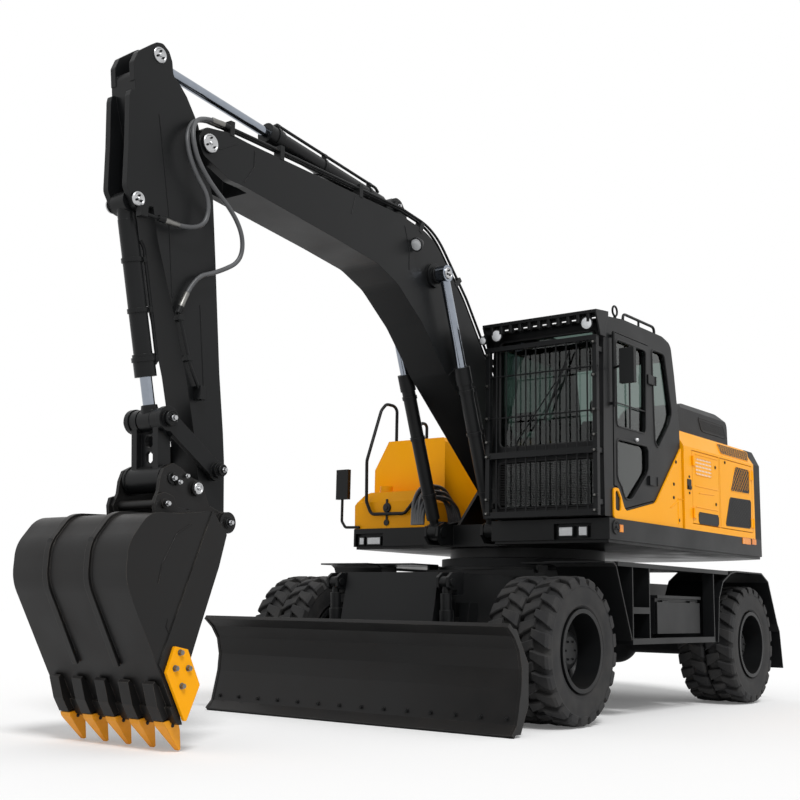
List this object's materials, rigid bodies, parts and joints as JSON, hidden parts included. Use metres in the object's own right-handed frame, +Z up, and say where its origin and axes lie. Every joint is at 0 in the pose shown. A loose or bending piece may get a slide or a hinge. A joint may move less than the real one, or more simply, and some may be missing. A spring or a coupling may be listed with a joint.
{
  "type": "wheeled excavator",
  "caption": "Wheeled excavator with a slewing upper body, side cab, bent boom, stick and toothed bucket, twin tyres on two axles, and a front dozer blade.",
  "frame": {"origin": "on the ground below the middle of the machine's overall box, wheels standing on z = 0", "axes": "+X forward along the machine, +Y to the operator's left, +Z up"},
  "size_m": [7.0173, 2.98, 4.0006],
  "materials": {
    "frame_paint": "satin dark grey paint",
    "body_paint": "gloss yellow-orange paint",
    "cast_metal": "painted casting",
    "plain_steel": "machined steel",
    "rod_chrome": "polished chrome",
    "tyre_rubber": "matte rubber",
    "cab_glass": "tinted clear glass",
    "seat_cloth": "woven seat cloth",
    "hose_rubber": "matte hose rubber",
    "trim_plastic": "grained plastic"
  },
  "bodies": {
    "chassis": {"chassis_frame": "frame_paint", "slew_ring": "plain_steel", "front_axle": "cast_metal", "rear_axle": "cast_metal", "driveline": "cast_metal", "fenders": "frame_paint", "side_decks": "frame_paint", "toolboxes": "frame_paint"},
    "upper": {"upper_frame": "frame_paint", "counterweight": "cast_metal", "engine_block": "cast_metal", "engine_housing": "body_paint", "fuel_tank": "body_paint", "air_box": "trim_plastic", "cab_shell": "frame_paint", "cab_glass": "cab_glass", "operator_seat": "seat_cloth", "cab_controls": "trim_plastic", "cab_guard": "frame_paint", "handrails": "frame_paint", "mirrors": "frame_paint"},
    "cab_door": {"cab_door": "frame_paint", "cab_door_glass": "cab_glass"},
    "blade": {"dozer_blade": "frame_paint"},
    "bucket": {"bucket": "frame_paint", "bucket_teeth": "body_paint", "quick_hitch": "frame_paint", "side_cutters": "body_paint"},
    "boom": {"boom": "frame_paint", "boom_lines": "frame_paint", "long_hose": "hose_rubber", "short_hose": "hose_rubber"},
    "stick": {"stick": "frame_paint", "stick_lines": "frame_paint"},
    "toolbox_door_left": {"toolbox_door_left": "frame_paint"},
    "toolbox_door_right": {"toolbox_door_right": "frame_paint"},
    "steering_knuckle_left": {"steering_knuckle_left": "frame_paint"},
    "steering_knuckle_right": {"steering_knuckle_right": "frame_paint"},
    "hood_door_front_left": {"hood_door_front_left": "body_paint"},
    "hood_door_rear_left": {"hood_door_rear_left": "body_paint"},
    "hood_door_right": {"hood_door_right": "body_paint"},
    "hood_lid": {"hood_lid": "frame_paint"},
    "blade_cylinder_barrels": {"blade_cylinder_barrels": "frame_paint"},
    "blade_cylinder_rods": {"blade_cylinder_rods": "rod_chrome"},
    "boom_cylinder_barrels": {"boom_cylinder_barrels": "frame_paint"},
    "boom_cylinder_rods": {"boom_cylinder_rods": "rod_chrome"},
    "arm_cylinder_barrel": {"arm_cylinder_barrel": "frame_paint"},
    "arm_cylinder_rod": {"arm_cylinder_rod": "rod_chrome"},
    "bucket_cylinder_barrel": {"bucket_cylinder_barrel": "frame_paint"},
    "bucket_cylinder_rod": {"bucket_cylinder_rod": "rod_chrome"},
    "guide_links": {"guide_links": "frame_paint"},
    "h_link": {"h_link": "frame_paint"},
    "wheels_front_left": {"tyres_front_left": "tyre_rubber", "rims_front_left": "frame_paint"},
    "wheels_front_right": {"tyres_front_right": "tyre_rubber", "rims_front_right": "frame_paint"},
    "wheels_rear_left": {"tyres_rear_left": "tyre_rubber", "rims_rear_left": "frame_paint"},
    "wheels_rear_right": {"tyres_rear_right": "tyre_rubber", "rims_rear_right": "frame_paint"}
  },
  "joints": [
    {"name": "slew", "type": "hinge", "parent": "chassis", "child": "upper", "pos_m": [-1.15, 0, 1.157], "axis": [0, 0, 1], "continuous": true},
    {"name": "steer_left", "type": "hinge", "parent": "chassis", "child": "steering_knuckle_left", "pos_m": [0.28, 0.74, 0.495], "axis": [0, 0, 1], "range_deg": [-25, 25]},
    {"name": "steer_right", "type": "hinge", "parent": "chassis", "child": "steering_knuckle_right", "pos_m": [0.28, -0.74, 0.495], "axis": [0, 0, 1], "range_deg": [-25, 25]},
    {"name": "spin_front_left", "type": "hinge", "parent": "steering_knuckle_left", "child": "wheels_front_left", "pos_m": [0.28, 1.06, 0.495], "axis": [0, 1, 0], "continuous": true},
    {"name": "spin_rear_left", "type": "hinge", "parent": "chassis", "child": "wheels_rear_left", "pos_m": [-2.75, 1.06, 0.495], "axis": [0, 1, 0], "continuous": true},
    {"name": "spin_front_right", "type": "hinge", "parent": "steering_knuckle_right", "child": "wheels_front_right", "pos_m": [0.28, -1.06, 0.495], "axis": [0, 1, 0], "continuous": true},
    {"name": "spin_rear_right", "type": "hinge", "parent": "chassis", "child": "wheels_rear_right", "pos_m": [-2.75, -1.06, 0.495], "axis": [0, 1, 0], "continuous": true},
    {"name": "blade_lift", "type": "hinge", "parent": "chassis", "child": "blade", "pos_m": [0.47, 0, 0.57], "axis": [0, -1, 0], "range_deg": [-8, 28]},
    {"name": "blade_cylinder_swing", "type": "hinge", "parent": "chassis", "child": "blade_cylinder_barrels", "pos_m": [0.735, 0, 0.935], "axis": [0, -1, 0], "range_deg": [-30, 30]},
    {"name": "blade_cylinder_stroke", "type": "slide", "parent": "blade_cylinder_barrels", "child": "blade_cylinder_rods", "axis": [-0.0504, 0, -0.9987], "range_m": [-0.3, 0.3]},
    {"name": "boom_lift", "type": "hinge", "parent": "upper", "child": "boom", "pos_m": [-0.85, 0, 1.69], "axis": [0, -1, 0], "range_deg": [-55, 32]},
    {"name": "boom_cylinder_swing", "type": "hinge", "parent": "upper", "child": "boom_cylinder_barrels", "pos_m": [-0.204, 0, 1.347], "axis": [0, -1, 0], "range_deg": [-65, 40]},
    {"name": "boom_cylinder_stroke", "type": "slide", "parent": "boom_cylinder_barrels", "child": "boom_cylinder_rods", "axis": [0.3455, 0, 0.9384], "range_m": [-0.7, 0.42]},
    {"name": "stick_swing", "type": "hinge", "parent": "boom", "child": "stick", "pos_m": [2.799, 0, 3.476], "axis": [0, 1, 0], "range_deg": [-86, 17], "deforming": ["long_hose", "short_hose"]},
    {"name": "arm_cylinder_swing", "type": "hinge", "parent": "boom", "child": "arm_cylinder_barrel", "pos_m": [0.84, 0, 3.66], "axis": [0, 1, 0], "range_deg": [-20, 20]},
    {"name": "arm_cylinder_stroke", "type": "slide", "parent": "arm_cylinder_barrel", "child": "arm_cylinder_rod", "axis": [0.9939, 0, 0.1106], "range_m": [-0.82, 0.2]},
    {"name": "bucket_curl", "type": "hinge", "parent": "stick", "child": "bucket", "pos_m": [2.57, 0, 1.225], "axis": [0, 1, 0], "range_deg": [-20, 115]},
    {"name": "bucket_cylinder_swing", "type": "hinge", "parent": "stick", "child": "bucket_cylinder_barrel", "pos_m": [3.267, 0, 3.005], "axis": [0, 1, 0], "range_deg": [-20, 20]},
    {"name": "bucket_cylinder_stroke", "type": "slide", "parent": "bucket_cylinder_barrel", "child": "bucket_cylinder_rod", "axis": [-0.2216, 0, -0.9751], "range_m": [-0.15, 0.8]},
    {"name": "guide_link_swing", "type": "hinge", "parent": "stick", "child": "guide_links", "pos_m": [2.602, 0, 1.53], "axis": [0, 1, 0], "range_deg": [-40, 140]},
    {"name": "h_link_swing", "type": "hinge", "parent": "guide_links", "child": "h_link", "pos_m": [2.99, 0, 1.786], "axis": [0, 1, 0], "range_deg": [-120, 30]},
    {"name": "cab_door_swing", "type": "hinge", "parent": "upper", "child": "cab_door", "pos_m": [-0.91, 1.296, 2.1], "axis": [0, 0, 1], "range_deg": [0, 150]},
    {"name": "hood_door_front_left_swing", "type": "hinge", "parent": "upper", "child": "hood_door_front_left", "pos_m": [-1.561, 1.309, 1.8], "axis": [0, 0, -1], "range_deg": [0, 100]},
    {"name": "hood_door_rear_left_swing", "type": "hinge", "parent": "upper", "child": "hood_door_rear_left", "pos_m": [-2.849, 1.309, 1.8], "axis": [0, 0, 1], "range_deg": [0, 100]},
    {"name": "hood_door_right_swing", "type": "hinge", "parent": "upper", "child": "hood_door_right", "pos_m": [-1.796, -1.309, 1.8], "axis": [0, 0, 1], "range_deg": [0, 100]},
    {"name": "hood_lid_lift", "type": "hinge", "parent": "upper", "child": "hood_lid", "pos_m": [-1.504, 0, 2.231], "axis": [0, 1, 0], "range_deg": [0, 60]},
    {"name": "toolbox_door_left_swing", "type": "hinge", "parent": "chassis", "child": "toolbox_door_left", "pos_m": [-1.4, 1.227, 0.84], "axis": [1, 0, 0], "range_deg": [0, 90]},
    {"name": "toolbox_door_right_swing", "type": "hinge", "parent": "chassis", "child": "toolbox_door_right", "pos_m": [-1.4, -1.227, 0.84], "axis": [-1, 0, 0], "range_deg": [0, 90]}
  ],
  "couplings": [
    {"joint": "steer_right", "follows": "steer_left", "ratio": 1},
    {"joint": "boom_cylinder_swing", "follows": "boom_lift", "ratio": 1.0279},
    {"joint": "boom_cylinder_stroke", "follows": "boom_lift", "m_per_rad": 0.6698},
    {"joint": "arm_cylinder_swing", "follows": "stick_swing", "ratio": 0.0653},
    {"joint": "arm_cylinder_stroke", "follows": "stick_swing", "m_per_rad": 0.5116},
    {"joint": "bucket_cylinder_swing", "follows": "bucket_curl", "ratio": -0.0112},
    {"joint": "bucket_cylinder_stroke", "follows": "bucket_curl", "m_per_rad": 0.3},
    {"joint": "guide_link_swing", "follows": "bucket_curl", "ratio": 0.95},
    {"joint": "h_link_swing", "follows": "bucket_curl", "ratio": -0.826},
    {"joint": "blade_cylinder_swing", "follows": "blade_lift", "ratio": 0.1762},
    {"joint": "blade_cylinder_stroke", "follows": "blade_lift", "m_per_rad": -0.2596}
  ]
}
